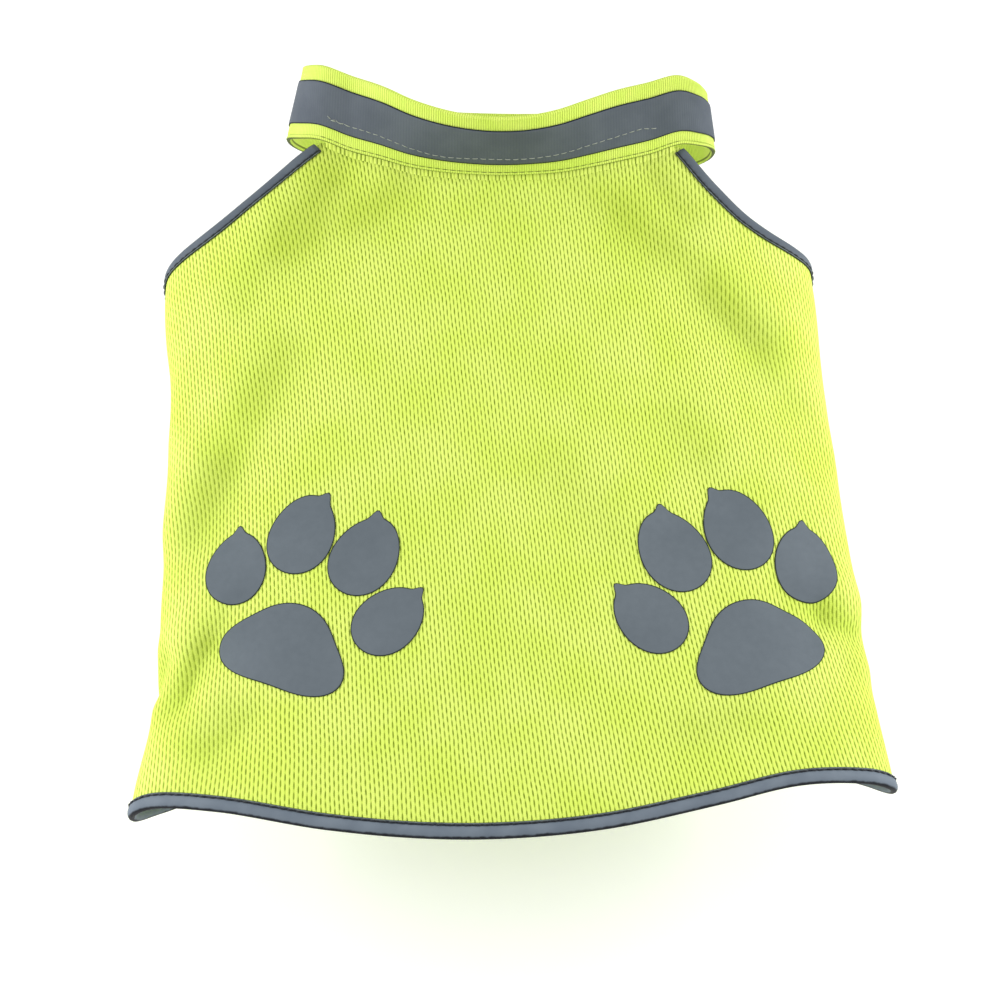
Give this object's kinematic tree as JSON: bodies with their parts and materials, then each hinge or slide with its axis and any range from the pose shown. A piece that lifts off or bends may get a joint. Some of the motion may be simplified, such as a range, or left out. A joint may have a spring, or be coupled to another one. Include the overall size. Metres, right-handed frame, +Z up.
{
  "type": "dog safety vest",
  "caption": "Hollow mesh dog vest in worn form, with a webbing neck band, a reflective stripe, folded reflective bindings and reflective paw prints.",
  "frame": {"origin": "inner face of the back on the middle line, half way between neckline and hem, where the wearer's back holds the vest up", "axes": "+Y towards the head, along the garment's length; +X to the garment's right as seen from behind and above; +Z up, out of the back, along the shortest side"},
  "size_m": [0.237, 0.2889, 0.1212],
  "materials": {
    "mesh_fabric": "fluorescent yellow-green bird's-eye mesh",
    "webbing": "ribbed yellow-green webbing",
    "reflective_tape": "grey reflective fabric tape",
    "binding_tape": "grey reflective fabric tape, folded and stitched",
    "reflective_film": "grey reflective film pressed on the mesh",
    "fastening_tape": "napped hook and loop tape"
  },
  "bodies": {
    "root": {"body_panel": "mesh_fabric", "neck_band": "webbing", "neck_stripe": "reflective_tape", "front_binding_left": "binding_tape", "front_binding_right": "binding_tape", "hem_binding": "binding_tape", "belly_loop_tape": "fastening_tape", "belly_hook_tape": "fastening_tape", "neck_loop_tape": "fastening_tape", "neck_hook_tape": "fastening_tape", "paw_left_pad": "reflective_film", "paw_left_toe_1": "reflective_film", "paw_left_toe_2": "reflective_film", "paw_left_toe_3": "reflective_film", "paw_left_toe_4": "reflective_film", "paw_right_pad": "reflective_film", "paw_right_toe_1": "reflective_film", "paw_right_toe_2": "reflective_film", "paw_right_toe_3": "reflective_film", "paw_right_toe_4": "reflective_film"}
  },
  "joints": []
}
